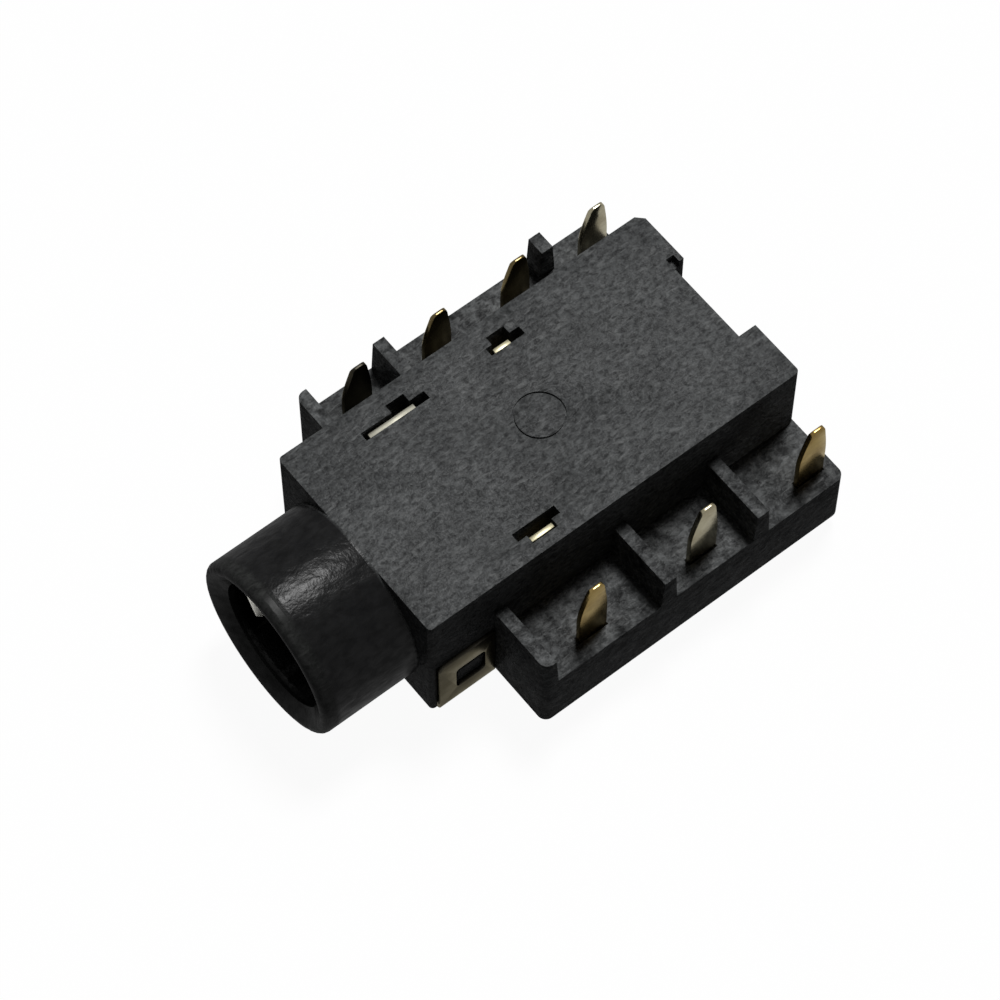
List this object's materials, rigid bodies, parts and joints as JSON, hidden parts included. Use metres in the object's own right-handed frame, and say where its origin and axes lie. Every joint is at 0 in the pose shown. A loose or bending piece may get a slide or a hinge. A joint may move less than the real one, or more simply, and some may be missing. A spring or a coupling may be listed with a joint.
{
  "type": "audio jack socket",
  "caption": "Low socket for a 3.5 mm audio plug, sunk into a board cut-out, with a round nose, ribbed side flanges, solder pins and sprung contacts.",
  "frame": {"origin": "centre of the bore's mouth, on the plug's axis", "axes": "+Y into the socket along the plug's axis, +Z the way the solder pins point, +X to the flange with three pins"},
  "size_m": [0.0098, 0.0143, 0.005],
  "materials": {
    "housing_plastic": "black glass-filled moulding, spark-eroded texture",
    "nickel_sheet": "nickel-plated copper alloy strip, stamped and bent",
    "gold_sheet": "thin gold plating on copper alloy strip, stamped and bent"
  },
  "bodies": {
    "socket": {"housing": "housing_plastic", "ground_contact": "nickel_sheet", "ring2_terminal": "gold_sheet", "ring1_terminal": "gold_sheet", "tip_terminal": "gold_sheet", "tip_switch_terminal": "gold_sheet", "detect_terminal": "gold_sheet", "detect_switch_terminal": "gold_sheet"},
    "ground_spring": {"ground_spring": "nickel_sheet"},
    "ring2_spring": {"ring2_spring": "gold_sheet"},
    "ring1_spring": {"ring1_spring": "gold_sheet"},
    "tip_spring": {"tip_spring": "gold_sheet"},
    "detect_spring": {"detect_spring": "gold_sheet"}
  },
  "joints": [
    {"name": "ground_flex", "type": "hinge", "parent": "socket", "child": "ground_spring", "pos_m": [-0.00215, 0.00481, -0.00124], "axis": [0.5, 0, -0.866], "range_deg": [0, 2.59], "stiffness_Nm_per_rad": 0.03},
    {"name": "ring2_flex", "type": "hinge", "parent": "socket", "child": "ring2_spring", "pos_m": [-0.00215, 0.00869, 0], "axis": [0, 0, -1], "range_deg": [0, 5.73], "stiffness_Nm_per_rad": 0.02},
    {"name": "ring1_flex", "type": "hinge", "parent": "socket", "child": "ring1_spring", "pos_m": [0.00252, 0.00709, 0], "axis": [0, 0, -1], "range_deg": [0, 9.4], "stiffness_Nm_per_rad": 0.02},
    {"name": "tip_flex", "type": "hinge", "parent": "socket", "child": "tip_spring", "pos_m": [0.00215, 0.01016, 0], "axis": [0, 0, -1], "range_deg": [0, 8.66], "stiffness_Nm_per_rad": 0.02},
    {"name": "detect_flex", "type": "hinge", "parent": "socket", "child": "detect_spring", "pos_m": [-0.00215, 0.01132, 0], "axis": [0, 0, 1], "range_deg": [0, 10.24], "stiffness_Nm_per_rad": 0.02}
  ]
}
